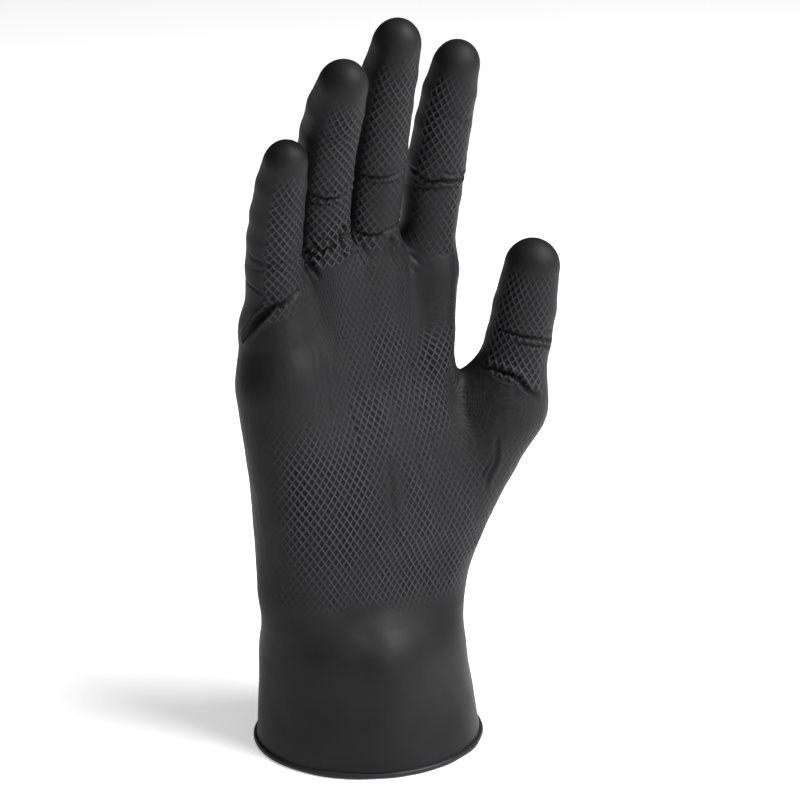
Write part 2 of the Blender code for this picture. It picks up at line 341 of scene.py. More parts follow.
def surface_nets(low, values):
    """One vertex in each cell that the skin crosses, and one quad round each crossed grid edge."""
    inside = values < 0
    corners = np.array([(i & 1, i >> 1 & 1, i >> 2 & 1) for i in range(8)])
    cells = [n - 1 for n in inside.shape]
    count = np.zeros(cells, np.int8)
    for c in corners:
        count += inside[c[0]:c[0] + cells[0], c[1]:c[1] + cells[1], c[2]:c[2] + cells[2]]
    active = np.argwhere((count > 0) & (count < 8))
    number = np.full(cells, -1, np.int64)
    number[tuple(active.T)] = np.arange(len(active))
    at_corner = np.stack([values[tuple((active + c).T)] for c in corners], 1)
    total = np.zeros((len(active), 3))
    crossings = np.zeros(len(active))
    for i in range(8):
        for bit in (1, 2, 4):
            if i & bit:
                continue
            a = at_corner[:, i]
            b = at_corner[:, i | bit]
            crossed = (a < 0) != (b < 0)
            share = np.where(crossed, a / np.where(crossed, a - b, 1.0), 0.0)
            step = corners[i | bit] - corners[i]
            total += (corners[i] + step * share[:, None]) * crossed[:, None]
            crossings += crossed
    vertices = low + PITCH * (active + total / crossings[:, None])
    quads = []
    for axis in range(3):
        one, two = (axis + 1) % 3, (axis + 2) % 3
        lower = [slice(None)] * 3
        upper = [slice(None)] * 3
        lower[axis] = slice(0, -1)
        upper[axis] = slice(1, None)
        edges = np.argwhere(inside[tuple(lower)] != inside[tuple(upper)])
        fits = (edges[:, one] > 0) & (edges[:, two] > 0)
        fits &= (edges[:, one] < cells[one]) & (edges[:, two] < cells[two])
        edges = edges[fits]
        step_one = np.eye(3, dtype=int)[one]
        step_two = np.eye(3, dtype=int)[two]
        ring = [edges - step_one - step_two, edges - step_two, edges, edges - step_one]
        quad = np.stack([number[tuple(c.T)] for c in ring], 1)
        starts_inside = inside[tuple(edges.T)]
        quad[~starts_inside] = quad[~starts_inside][:, ::-1]
        quads.append(quad)
    return vertices, np.concatenate(quads)


def edges_of(quads):
    """Each quad's four edges, numbered by the distinct edges they are."""
    pairs = np.stack([quads, np.roll(quads, -1, 1)], -1).reshape(-1, 2)
    pairs = np.sort(pairs, 1)
    key = pairs[:, 0].astype(np.int64) * (quads.max() + 1) + pairs[:, 1]
    _, first, inverse = np.unique(key, return_index=True, return_inverse=True)
    return pairs[first], inverse.reshape(-1, 4)


def relax(vertices, quads, rounds):
    """Even out the quads by sliding vertices along the skin."""
    edges, _ = edges_of(quads)
    degree = np.bincount(edges.ravel(), minlength=len(vertices))[:, None]
    for _ in range(rounds):
        total = np.zeros_like(vertices)
        for axis in range(3):
            total[:, axis] += np.bincount(edges[:, 0], vertices[edges[:, 1], axis], len(vertices))
            total[:, axis] += np.bincount(edges[:, 1], vertices[edges[:, 0], axis], len(vertices))
        vertices = onto_skin(vertices * 0.4 + total / degree * 0.6, 1)
    return vertices


def subdivide(vertices, quads):
    """Each quad in four. Also returns the distinct edges, whose midpoints follow the old vertices."""
    edges, numbers = edges_of(quads)
    middles = vertices[edges].mean(1)
    centres = vertices[quads].mean(1)
    old = len(vertices)
    mid = numbers + old
    centre = np.arange(len(quads)) + old + len(edges)
    fine = []
    for i in range(4):
        fine.append(np.stack([quads[:, i], mid[:, i], centre, mid[:, i - 1]], 1))
    return np.concatenate([vertices, middles, centres]), np.stack(fine, 1).reshape(-1, 4), edges


def vertex_normals(vertices, quads):
    corners = vertices[quads]
    face = np.cross(corners[:, 2] - corners[:, 0], corners[:, 3] - corners[:, 1])
    normals = np.zeros_like(vertices)
    for i in range(4):
        for axis in range(3):
            normals[:, axis] += np.bincount(quads[:, i], face[:, axis], len(vertices))
    return normals / np.maximum(np.linalg.norm(normals, axis=1), 1e-12)[:, None]


# The skin, smooth

LOW = np.array((-66.0, -64.0, -3.2))
HIGH = np.array((72.0, 44.0, 248.0))
FIRST_SKIN = 1.0

grid = np.ceil((HIGH - LOW) / PITCH).astype(int)
coarse, coarse_quads = surface_nets(LOW, sample_field(LOW, grid))
coarse = relax(onto_skin(coarse, 2), coarse_quads, 2)
coarse_quads = coarse_quads[coarse[coarse_quads][:, :, 2].mean(1) > FIRST_SKIN]
used, coarse_quads = np.unique(coarse_quads, return_inverse=True)
coarse = coarse[used]
coarse_quads = coarse_quads.reshape(-1, 4)
skin, skin_quads, split_edges = subdivide(coarse, coarse_quads)
skin = onto_skin(skin, 1)
normals = vertex_normals(skin, skin_quads)


# Where each point of the skin is on its stall

CURVE_STEP = 0.5
CURVE_SOFTNESS = 2.5


def centre_curve(stall):
    """Points and directions along a stall's centre line, with its bends rounded."""
    reach = int(CURVE_SOFTNESS * 3 / CURVE_STEP)
    along = np.arange(-reach * CURVE_STEP, stall.starts[-1] + reach * CURVE_STEP, CURVE_STEP)
    knots = np.column_stack([np.interp(along, stall.starts, stall.points[:, k]) for k in range(3)])
    before = (stall.starts[0] - along).clip(0.0)[:, None]
    after = (along - stall.starts[-1]).clip(0.0)[:, None]
    first = unit(stall.points[1] - stall.points[0])
    last = unit(stall.points[-1] - stall.points[-2])
    knots = knots - before * first + after * last
    kernel = np.exp(-0.5 * (np.arange(-reach, reach + 1) * CURVE_STEP / CURVE_SOFTNESS) ** 2)
    kernel /= kernel.sum()
    curve = np.column_stack([np.convolve(knots[:, k], kernel, mode="valid") for k in range(3)])
    heading = np.gradient(curve, axis=0)
    heading /= np.linalg.norm(heading, axis=1)[:, None]
    return along[reach:-reach], curve, heading


CURVES = {name: centre_curve(stall) for name, stall in STALLS.items()}


def stall_place(p, stall):
    """Distance along a stall from its root, and angle round it from its grip band's middle."""
    along, curve, heading = CURVES[stall.name]
    nearest = np.empty(len(p), int)
    batch = 20000
    for first in range(0, len(p), batch):
        part = p[first:first + batch]
        square = (part * part).sum(1)[:, None] - 2 * part @ curve.T + (curve * curve).sum(1)[None]
        nearest[first:first + batch] = square.argmin(1)
    offset = p - curve[nearest]
    distance = along[nearest] + (offset * heading[nearest]).sum(1)
    inward = np.cross(stall.across, heading[nearest])
    angle = np.arctan2(-(offset @ stall.across), (offset * inward).sum(1))
    return distance, (angle - stall.grip_turn + np.pi) % (2 * np.pi) - np.pi


def stall_point(stall, distance, angle):
    """A point of the skin at that distance along a stall and at that angle from its palm side."""
    along, curve, heading = CURVES[stall.name]
    index = np.clip(np.searchsorted(along, distance), 0, len(along) - 1)
    inward = np.cross(stall.across, heading[index])
    radius = np.interp(distance, stall.starts, stall.widths)
    return curve[index] + radius * (inward * np.cos(angle) - stall.across * np.sin(angle))


palm_distance = palm_field(skin)
stall_distance = np.stack([stall_field(skin, stall) for stall in STALLS.values()], 1)
nearest_stall = stall_distance.argmin(1)
on_stall = stall_distance.min(1) < palm_distance


# Soft irregularity: sums of plane waves with seeded directions

def waves(p, wavelength, seed, count=7):
    source = np.random.default_rng(seed)
    total = np.zeros(len(p))
    for _ in range(count):
        direction = unit(source.normal(size=3))
        turn = 2 * np.pi / (wavelength * source.uniform(0.7, 1.5))
        total += np.sin(p @ direction * turn + source.uniform(0, 2 * np.pi))
    return total / np.sqrt(count / 2)


# Folds and creases

class Fold:
    """A fold of the film along a line on the skin: a groove with a raised lip on each side."""

    def __init__(self, path, depth, width, fade, lip=0.4, wander=0.35, seed=1):
        path = np.array(path)
        steps = np.concatenate(([0.0], np.cumsum(np.linalg.norm(np.diff(path, axis=0), axis=1))))
        count = max(4, int(steps[-1] / 1.2))
        at = np.linspace(0, steps[-1], count)
        line = np.column_stack([np.interp(at, steps, path[:, k]) for k in range(3)])
        line = onto_skin(line, 6)
        heading = np.gradient(line, axis=0)
        _, slope = gradient(line)
        side = np.cross(heading, slope)
        side /= np.linalg.norm(side, axis=1)[:, None] + 1e-9
        sway = waves(line, 7.0, seed) * wander
        self.line = onto_skin(line + side * sway[:, None], 2)
        self.share = np.linspace(0, 1, count)
        self.depth = depth
        self.width = width
        self.fade = fade
        self.lip = lip

    def strength(self, share):
        if self.fade == "both":
            return np.sin(np.pi * np.clip(share, 0, 1)) ** 0.45
        return np.clip(1 - share, 0, 1) ** 0.75

    def push(self, p, total):
        reach = self.width * 4.5
        near = ((p > self.line.min(0) - reach) & (p < self.line.max(0) + reach)).all(1)
        chosen = np.flatnonzero(near)
        if len(chosen) == 0:
            return
        q = p[chosen]
        best = np.full(len(q), 99.0)
        share = np.zeros(len(q))
        for i in range(len(self.line) - 1):
            start = self.line[i]
            step = self.line[i + 1] - start
            t = np.clip((q - start) @ step / (step @ step), 0, 1)
            distance = np.linalg.norm(q - start - t[:, None] * step, axis=1)
            closer = distance < best
            best[closer] = distance[closer]
            share[closer] = (self.share[i] + (self.share[i + 1] - self.share[i]) * t)[closer]
        groove = np.exp(-(best / self.width) ** 2)
        lip = np.exp(-((best - 2.1 * self.width) / (1.1 * self.width)) ** 2)
        total[chosen] += self.depth * self.strength(share) * (self.lip * lip - groove)


def beside(name, *offsets):
    """Points given from a stall's first hinge."""
    return [STALLS[name].hinge + np.array(offset) for offset in offsets]


def crease(name, distance, half_angle, bow=0.0, tilt=0.0, turn=0.0):
    """A line part of the way round a stall, on its palm side."""
    angles = np.linspace(-1, 1, 13)
    return [stall_point(STALLS[name], distance + bow * a * a + tilt * a,
                        np.radians(turn + half_angle * a)) for a in angles]


def build_folds():
    folds = []

    def add(path, depth, width, fade="both", lip=0.4, wander=0.35):
        folds.append(Fold(path, depth, width, fade, lip, wander, seed=len(folds) + 3))

    # Across the middle joint of each finger, with finer lines on both sides.
    joint_lines = {
        "index": (2.0, 1.05, 0.62, 0.8),
        "middle": (1.0, 0.85, 0.6, -1.2),
        "ring": (2.8, 1.0, 0.62, 0.6),
        "little": (0.5, 0.4, 0.6, 0.5),
    }
    for name, (shift, depth, width, tilt) in joint_lines.items():
        place = STALLS[name].starts[1] + shift
        add(crease(name, place, 85, bow=0.8, tilt=tilt, turn=10), depth, width)
        add(crease(name, place - 2.4, 55, bow=-0.5, tilt=-tilt, turn=25), depth * 0.5, 0.45)
        add(crease(name, place + 2.3, 45, bow=0.6, tilt=tilt, turn=-5), depth * 0.4, 0.45)
        place = STALLS[name].starts[2]
        add(crease(name, place, 60, bow=0.5, tilt=0.4, turn=15), depth * 0.28, 0.8)
    # Where the fingers leave the palm.
    add(beside("index", (-4.9, -7.1, -10.8), (4.5, -7.3, -9.5)), 0.3, 1.0, lip=0.1)
    add(beside("middle", (-8.9, -3.0, -1.8), (-7.5, -5.0, -3.7), (-3.5, -7.7, -4.8), (0.2, -8.9, -3.2)),
        1.0, 0.62, wander=0.15)
    add(beside("middle", (0.2, -8.9, -3.2), (5.5, -7.5, -2.0), (9.0, -3.0, -1.0)), 0.7, 0.6, "far")
    add(beside("ring", (-9.5, -7.0, -1.5), (-4.4, -7.0, -5.0), (0.2, -9.0, -2.7), (4.0, -9.0, 1.5)),
        1.1, 0.7, wander=0.15)
    add(beside("ring", (-8.0, -7.0, 1.2), (-3.5, -8.5, -1.0), (1.0, -9.4, 0.6)), 0.45, 0.45)
    add(beside("little", (4.4, -7.7, 1.5), (-0.8, -6.8, -1.0), (-5.9, -5.4, -4.0), (-9.3, 1.3, -12.9),
               (-9.1, 2.9, -15.5)), 1.7, 0.85, lip=0.5, wander=0.15)
    add(beside("little", (0.2, -9.0, 1.5), (-7.0, -4.3, -2.5)), 0.5, 0.5)
    add(crease("little", STALLS["little"].stub + 4.0, 50, bow=0.8, turn=60), 0.3, 0.5)
    # From the crotches into the palm.
    web_folds = (
        ("ring", (0.7, -9.9, 0.2), (7.2, -7.6, -12.3), 1.15, 0.7),
        ("ring", (1.5, -9.6, 2.8), (11.9, -6.6, -8.6), 1.3, 0.75),
        ("ring", (3.9, -9.7, 3.8), (14.9, -7.6, -10.9), 0.7, 0.6),
        ("ring", (-8.0, -4.5, -4.9), (-1.2, -7.8, -8.5), 1.2, 0.75),
        ("ring", (-8.6, -5.0, -7.2), (-3.7, -7.0, -14.6), 1.3, 0.85),
        ("ring", (-9.8, -5.6, -8.6), (-7.4, -5.8, -17.5), 1.0, 0.7),
        ("index", (-21.1, -8.3, -2.4), (-8.2, -5.8, -16.1), 1.05, 0.75),
        ("index", (-18.0, -6.0, -1.0), (-7.7, -5.7, -12.9), 0.9, 0.65),
        ("index", (-21.9, -8.4, -4.5), (-16.2, -7.6, -14.5), 0.6, 0.6),
    )
    for name, start, end, depth, width in web_folds:
        add(beside(name, start, end), depth, width, "far", wander=0.12)
    # The thumb's two joints and the fold at its foot.
    add(beside("thumb", (-8.8, -1.8, 14.8), (-4.9, -8.0, 13.5), (2.0, -9.8, 11.8), (8.5, -9.1, 9.9)),
        0.95, 0.6, wander=0.2)
    add(beside("thumb", (-6.6, -7.2, 11.2), (0.0, -9.8, 9.6), (8.6, -8.4, 7.8)), 0.75, 0.5, wander=0.2)
    add(beside("thumb", (-2.0, -8.0, 17.0), (8.0, -8.0, 14.0)), 0.3, 0.5)
    add(beside("thumb", (-14.0, 0.8, 2.4), (-12.2, -3.2, 2.4), (-8.3, -8.6, 1.0), (-4.5, -11.7, -2.6),
               (1.3, -12.8, -8.4)), 1.4, 0.8, wander=0.2)
    add(beside("thumb", (-12.6, -3.7, 1.2), (-6.5, -10.0, -3.4)), 0.6, 0.55)
    add(beside("thumb", (-13.5, -9.7, -19.3), (-14.0, -9.4, -26.8), (-16.5, -8.4, -37.8)), 0.7, 0.75)
    add(beside("thumb", (-14.8, -9.0, -21.5), (-18.5, -8.2, -36.0)), 0.3, 0.6)
    # A soft upright edge down the cuff.
    add(((-16.0, -31.5, 6.0), (-14.5, -28.0, 26.0), (-12.0, -25.5, 46.0), (-9.0, -24.0, 62.0)),
        -0.8, 6.5, lip=0.1)
    # Long tension lines down the palm.
    source = np.random.default_rng(41)
    for _ in range(16):
        x = source.uniform(-34, 16)
        top = source.uniform(100, 148)
        drop = source.uniform(12, 30)
        lean = source.uniform(-2.5, 1.5)
        path = ((x, -12.0, top), (x + lean, -14.0, top - drop))
        add(path, source.uniform(0.1, 0.24), source.uniform(0.6, 1.1))
    return folds


shift = np.zeros(len(skin))
for fold in build_folds():
    fold.push(skin, shift)

# Loose film: slow waves, more on the cuff and less where the hand fills it, and on the hand a
# fine upright grain. Each has its wavelength and its height. A wave is stretched upwards by
# shrinking the heights that it is worked out from.
BROAD_WAVES = (34.0, 0.42)
MIDDLE_WAVES = (17.0, 0.12)
SMALL_WAVES = (9.0, 0.03)
TENSION_WAVES = (2.6, 0.022)
UPRIGHT = np.array((1.0, 1.0, 0.35))
TENSION_STRETCH = np.array((1.0, 1.0, 0.16))

cuff_share = 1 - smoothstep(skin[:, 2], 50.0, 90.0)
bead_share = smoothstep(skin[:, 2], 2.0, 16.0)
upright = skin * UPRIGHT
shift += waves(upright, BROAD_WAVES[0], 5) * BROAD_WAVES[1] * cuff_share * bead_share
shift += waves(upright, MIDDLE_WAVES[0], 6) * MIDDLE_WAVES[1] * (0.4 + 0.6 * cuff_share) * bead_share
shift += waves(skin, SMALL_WAVES[0], 7) * SMALL_WAVES[1] * bead_share
hand_share = smoothstep(skin[:, 2], 62.0, 80.0) * ~on_stall
shift += waves(skin * TENSION_STRETCH, TENSION_WAVES[0], 11) * TENSION_WAVES[1] * hand_share

creased = skin + normals * shift[:, None]
creased_normals = vertex_normals(creased, skin_quads)


# The raised diamond grip

# Width and height of a diamond, and the ridges between them.
DIAMOND = (2.4, 3.4)
RIDGE_WIDTH = 0.34
RIDGE_HEIGHT = 0.25
# Half width of the band down each stall and of its soft edge, in degrees, and the smooth fingertip.
GRIP_BAND = 44.0
GRIP_BAND_SOFT = 16.0
SMOOTH_TIP = 8.0
# Height at which the grip starts above the cuff, and its soft edge.
GRIP_START = 46.0
GRIP_START_SOFT = 9.0
# Distances round the hand between which the grip fades, on the little finger's side and the thumb's.
LITTLE_EDGE = (33.0, 44.0)
THUMB_EDGE = (62.0, 74.0)
EDGE_FADE = 0.92
# Places where the ridges are made taller, and their painted highlight and painted shade stronger: across,
# up and reach.
RIDGE_BOOST_PLACES = ((-2.0, 118.0, 17.0), (4.0, 80.0, 14.0))
RIDGE_BOOST_GAIN = 0.55
TIGHT_FADE = 0.85
CREASE_FADE = 0.6

# The film is unrolled about this upright line, in rings this far apart.
UNROLL_CENTRE = (-5.0, 3.0)
UNROLL_SPACING = 4.0
UNROLL_HEIGHTS = np.arange(36.0, 134.0, UNROLL_SPACING)
UNROLL_STEPS = 180


def unrolled(p):
    """Distance round the hand from the middle of the palm, measured along the film."""
    angles = np.linspace(-np.pi, np.pi, UNROLL_STEPS + 1)
    ways = np.column_stack([np.sin(angles), -np.cos(angles), np.zeros(len(angles))])
    table = []
    for height in UNROLL_HEIGHTS:
        centre = np.array((UNROLL_CENTRE[0], UNROLL_CENTRE[1], height))
        near = np.full(len(angles), 2.0)
        far = np.full(len(angles), 80.0)
        for _ in range(14):
            middle = (near + far) / 2
            outside = palm_field(centre + ways * middle[:, None]) > 0
            far = np.where(outside, middle, far)
            near = np.where(outside, near, middle)
        line = ways * near[:, None]
        steps = np.concatenate(([0.0], np.cumsum(np.linalg.norm(np.diff(line, axis=0), axis=1))))
        table.append(steps - steps[UNROLL_STEPS // 2])
    table = np.array(table)
    kernel = np.array((1.0, 2.0, 3.0, 2.0, 1.0)) / 9
    padded = np.pad(table, ((2, 2), (0, 0)), mode="edge")
    table = sum(weight * padded[i:i + len(table)] for i, weight in enumerate(kernel))
    angle = np.arctan2(p[:, 0] - UNROLL_CENTRE[0], UNROLL_CENTRE[1] - p[:, 1])
    across = (angle + np.pi) / (2 * np.pi) * UNROLL_STEPS
    up = np.clip((p[:, 2] - UNROLL_HEIGHTS[0]) / UNROLL_SPACING, 0, len(UNROLL_HEIGHTS) - 1.001)
    i = up.astype(int)
    j = np.clip(across.astype(int), 0, UNROLL_STEPS - 1)
    up = up - i
    across = across - j
    low = table[i, j] * (1 - across) + table[i, j + 1] * across
    high = table[i + 1, j] * (1 - across) + table[i + 1, j + 1] * across
    return low * (1 - up) + high * up


flat = np.column_stack([unrolled(skin), skin[:, 2]])
# The columns of diamonds fan out a little with the fingers.
flat[:, 0] += 0.14 * (skin[:, 2] - 100.0) * smoothstep(skin[:, 2], 60.0, 160.0)
grip = np.ones(len(skin))
start = GRIP_START + 0.16 * np.abs(skin[:, 0] + 8.0) + 2.0 * waves(skin, 22.0, 8)
around = flat[:, 0]
grip *= smoothstep(skin[:, 2], start, start + GRIP_START_SOFT)
grip *= 1 - EDGE_FADE * smoothstep(-around, *LITTLE_EDGE)
grip *= 1 - EDGE_FADE * smoothstep(around, *THUMB_EDGE)
for number, stall in enumerate(STALLS.values()):
    mine = np.flatnonzero(on_stall & (nearest_stall == number))
    distance, angle = stall_place(skin[mine], stall)
    flat[mine, 0] = angle * stall.widths.mean()
    flat[mine, 1] = distance
    band = 1 - smoothstep(np.degrees(np.abs(angle)), GRIP_BAND, GRIP_BAND + GRIP_BAND_SOFT)
    smooth_from = stall.starts[-1] - SMOOTH_TIP
    tip = 1 - smoothstep(distance, smooth_from - 8.0, smooth_from + 3.0)
    grip[mine] = band * tip
seam = np.abs(stall_distance.min(1) - palm_distance)
grip *= smoothstep(seam, 0.25, 1.1)
patchy = 0.62 + 0.34 * waves(upright, 22.0, 9) + 0.14 * waves(upright, 8.0, 10)
for x, z, reach in RIDGE_BOOST_PLACES:
    patchy += RIDGE_BOOST_GAIN * np.exp(-((skin[:, 0] - x) ** 2 + (skin[:, 2] - z) ** 2) / reach ** 2)
grip *= np.clip(patchy, 0.2, 1.35)
# The film is drawn tight, and its diamonds flatten, beside the thumb and below the little finger.
by_thumb = smoothstep(skin[:, 0], 22.0, 34.0) * smoothstep(skin[:, 2], 84.0, 104.0) * ~on_stall
by_little = smoothstep(-skin[:, 0], 14.0, 30.0) * smoothstep(skin[:, 2], 100.0, 130.0) * ~on_stall
# They fade out as well under the roots of the fingers, where the film is pulled sideways.
under_index = smoothstep(skin[:, 2], 130.0, 142.0) * smoothstep(skin[:, 0], 2.0, 14.0) * ~on_stall
under_ring = 0.7 * smoothstep(skin[:, 2], 134.0, 148.0) * ~on_stall
tight = np.maximum(np.maximum(by_thumb, by_little), np.maximum(1.1 * under_index, under_ring))
grip *= 1 - TIGHT_FADE * tight
grip *= 1 - CREASE_FADE * smoothstep(-shift, 0.25, 0.9)

cells = flat / np.array(DIAMOND)
SPACING = 1 / np.hypot(1 / DIAMOND[0], 1 / DIAMOND[1])


def ridges(cells):
    """Height from 0 to 1 of two crossing families of rounded ridges."""
    first = cells[:, 0] + cells[:, 1]
    second = cells[:, 0] - cells[:, 1]
    lines = [np.exp(-((f - np.round(f)) * SPACING / RIDGE_WIDTH) ** 2) for f in (first, second)]
    return np.maximum(*lines) + 0.25 * np.minimum(*lines)


height = RIDGE_HEIGHT * grip * ridges(cells)
surface = creased + creased_normals * height[:, None]
surface_normals = vertex_normals(surface, skin_quads)


# Which piece of film each quad belongs to

# Heights between which the film bends at the wrist.
WRIST_BLEND = (46.0, 70.0)
# Where the palm's film meets the back's, from front to back.
SIDE_LINE = 0.0
# How far a piece reaches past the bend within it.
MARGIN = 1.0
# Where each stall's film starts to bend at the hand, clear of the webs beside it: how far that
# plane leans across the stall, its distance beyond the hinge, and the length of the bend.
ROOT_BENDS = {
    "index": (0.1, -4.6, 11.0),
    "middle": (0.25, 1.8, 8.0),
    "ring": (-0.3, 1.0, 6.5),
    "little": (-0.55, 4.4, 3.2),
    "thumb": (0.0, 7.6, 3.2),
}
# The same for the bends further on: the lean, and the lengths before and after the hinge.
BENDS = {"little_knuckle": (-0.3, 2.5, 3.5), "thumb_tip": (0.0, 3.3, 5.0)}
USUAL_BEND = (0.0, 5.0, 5.0)

centres = coarse[coarse_quads].mean(1)
quad_palm = palm_field(centres)
quad_stalls = np.stack([stall_field(centres, stall) for stall in STALLS.values()], 1)
quad_stall = quad_stalls.argmin(1)
quad_on_stall = quad_stalls.min(1) < quad_palm

pieces = {}
taken = np.zeros(len(centres), bool)


def take(name, chosen):
    pieces[name] = np.flatnonzero(chosen & ~taken)
    taken[chosen] = True


bends = {}
for number, stall in enumerate(STALLS.values()):
    lean, reach, length = ROOT_BENDS[stall.name]
    direction = unit(stall.along + stall.across * lean)
    start = stall.hinge + direction * reach
    distance, _ = stall_place(centres, stall)
    mine = quad_on_stall & (quad_stall == number) & ((centres - start) @ direction > -MARGIN)
    parents = ["hand"] + [stall.name + "_" + label for label in stall.labels]
    bends[stall.name + "_root_skin"] = (parents[0], parents[1], start, start + direction * length)
    take(stall.name + "_root_skin", mine & ((centres - start) @ direction < length + MARGIN / 2))
    middles = [(stall.starts[i] + stall.starts[i + 1]) / 2 for i in range(1, len(stall.lengths))]
    names = ["knuckle", "tip"] if len(stall.labels) == 3 else ["tip"]
    lower = -99.0
    for i, label in enumerate(names, start=1):
        upper = middles[i - 1] if label != "tip" else 999.0
        take(stall.name + "_" + label + "_skin", mine & (distance >= lower) & (distance < upper))
        lower = upper
        lean, before, after = BENDS.get(stall.name + "_" + label, USUAL_BEND)
        heading = unit(unit(stall.points[i] - stall.points[i - 1])
                       + unit(stall.points[i + 1] - stall.points[i]) + stall.across * 2 * lean)
        at = stall.points[i]
        bends[stall.name + "_" + label + "_skin"] = (
            parents[i], parents[i + 1], at - heading * before, at + heading * after)
take("cuff_skin", centres[:, 2] < WRIST_BLEND[0] - MARGIN)
take("wrist_skin", centres[:, 2] < WRIST_BLEND[1] + MARGIN)
take("palm_skin", centres[:, 1] < SIDE_LINE)
take("back_skin", ~taken)
bends["wrist_skin"] = ("cuff", "hand", np.array((0.0, WRIST[1], WRIST_BLEND[0])),
                       np.array((0.0, WRIST[1], WRIST_BLEND[1])))


def film_piece(name, chosen):
    """One piece as a closed film: its fine outer face, its coarser inner face, and its rims."""
    outer = skin_quads.reshape(-1, 4, 4)[chosen].reshape(-1, 4)
    inner = coarse_quads[chosen]
    outer_used, outer = np.unique(outer, return_inverse=True)
    inner_used, inner = np.unique(inner, return_inverse=True)
    outer = outer.reshape(-1, 4)
    inner = inner.reshape(-1, 4) + len(outer_used)
    # The coarse edges with a quad on one side only are the piece's rims.
    edges = np.stack([coarse_quads[chosen], np.roll(coarse_quads[chosen], -1, 1)], -1).reshape(-1, 2)
    size = len(coarse) + 1
    forward = edges[:, 0].astype(np.int64) * size + edges[:, 1]
    backward = edges[:, 1].astype(np.int64) * size + edges[:, 0]
    rims = edges[~np.isin(forward, backward)]
    key = split_edges[:, 0].astype(np.int64) * size + split_edges[:, 1]
    low = np.minimum(rims[:, 0], rims[:, 1]).astype(np.int64)
    high = np.maximum(rims[:, 0], rims[:, 1]).astype(np.int64)
    middle = np.searchsorted(key, low * size + high) + len(coarse)
    ends = np.searchsorted(outer_used, rims)
    middle = np.searchsorted(outer_used, middle)
    inner_ends = np.searchsorted(inner_used, rims) + len(outer_used)
    rim_faces = np.column_stack([ends[:, 1], middle, ends[:, 0], inner_ends[:, 0], inner_ends[:, 1]])
    points = np.concatenate([surface[outer_used],
                             creased[inner_used] - creased_normals[inner_used] * FILM])
    directions = np.concatenate([surface_normals[outer_used], -creased_normals[inner_used]])
    loops = np.concatenate([outer.ravel(), inner[:, ::-1].ravel(), rim_faces.ravel()])
    sizes = np.concatenate([np.full(len(outer) + len(inner), 4), np.full(len(rim_faces), 5)])
    mesh = bpy.data.meshes.new(name)
    mesh.vertices.add(len(points))
    mesh.vertices.foreach_set("co", (points * MM).ravel())
    mesh.loops.add(len(loops))
    mesh.loops.foreach_set("vertex_index", loops)
    mesh.polygons.add(len(sizes))
    mesh.polygons.foreach_set("loop_start", np.concatenate(([0], np.cumsum(sizes)[:-1])))
    mesh.update(calc_edges=True)
    mesh.polygons.foreach_set("use_smooth", np.ones(len(sizes), bool))
    lattice = mesh.attributes.new("diamonds", "FLOAT_VECTOR", "POINT")
    values = np.zeros((len(points), 3))
    values[:len(outer_used), :2] = cells[outer_used]
    values[:len(outer_used), 2] = grip[outer_used]
    lattice.data.foreach_set("vector", values.ravel())
    # The creases' depth, which the material turns into painted shade.
    depth = mesh.attributes.new("creases", "FLOAT", "POINT")
    fall = np.zeros(len(points))
    fall[:len(outer_used)] = np.clip(-shift[outer_used], 0, 1)
    depth.data.foreach_set("value", fall)
    mesh.normals_split_custom_set_from_vertices(directions)
    piece = bpy.data.objects.new(name, mesh)
    bpy.context.scene.collection.objects.link(piece)
    return piece


# The rolled bead at the mouth

BEAD_RADIUS = 1.05
BEAD_STEPS = 288
BEAD_SIDES = 20


def mouth_line():
    """Points of the skin's edge round the mouth, at the bead's middle height."""
    angles = np.linspace(0, 2 * np.pi, BEAD_STEPS, endpoint=False)
    rays = np.column_stack([np.cos(angles), np.sin(angles), np.zeros(BEAD_STEPS)])
    centre = np.array((np.interp(0.0, PROFILE_HEIGHTS, PROFILE_COLUMNS[0]), 0.0, BEAD_RADIUS))
    near = np.full(BEAD_STEPS, 20.0)
    far = np.full(BEAD_STEPS, 60.0)
    for _ in range(24):
        middle = (near + far) / 2
        outside = hand_field(centre + rays * middle[:, None]) > 0
        far = np.where(outside, middle, far)
        near = np.where(outside, near, middle)
    return centre + rays * near[:, None], rays


def bead_piece():
    line, rays = mouth_line()
    angles = np.linspace(0, 2 * np.pi, BEAD_SIDES, endpoint=False)
    thick = BEAD_RADIUS * (0.97 + 0.05 * waves(line, 14.0, 31))
    turns = np.cos(angles[None] - 2.2 + 0.4 * waves(line, 30.0, 32)[:, None])
    wrap = 1 - 0.16 * np.exp(-((turns - 1) / 0.05) ** 2)
    reach = thick[:, None] * wrap
    out = np.cos(angles)[None] * reach
    up = np.sin(angles)[None] * reach
    points = line[:, None, :] + rays[:, None, :] * out[:, :, None]
    points[:, :, 2] = np.maximum(points[:, :, 2] + up, 0.0)
    first = np.arange(BEAD_STEPS)[:, None] * BEAD_SIDES
    second = np.roll(np.arange(BEAD_STEPS), -1)[:, None] * BEAD_SIDES
    side = np.arange(BEAD_SIDES)[None]
    after = np.roll(side, -1, 1)
    faces = np.stack([first + side, second + side, second + after, first + after], -1).reshape(-1, 4)
    mesh = bpy.data.meshes.new("bead")
    mesh.from_pydata((points.reshape(-1, 3) * MM).tolist(), [], faces.tolist())
    mesh.polygons.foreach_set("use_smooth", np.ones(len(mesh.polygons), bool))
    piece = bpy.data.objects.new("bead", mesh)
    bpy.context.scene.collection.objects.link(piece)
    return piece


# Materials: one black nitrile, with its grain, its diamonds' edges and slow changes of gloss, and with
# painted highlight on the ridges and painted shade between them and in the creases

GLOSS_LEVEL = 0.12
# Painted highlight and painted shade: how much lighter the colour is made on a ridge, and how much darker
# between ridges and in a crease.
RIDGE_PAINTED_HIGHLIGHT = 2.9
PIT_PAINTED_SHADE = 0.6
CREASE_PAINTED_SHADE = 0.45
# Half width of a ridge's crown and of its whole width, and its height for the shading, in mm.
CROWN = 0.05
FOOT = 0.42
SHADED_HEIGHT = 0.22


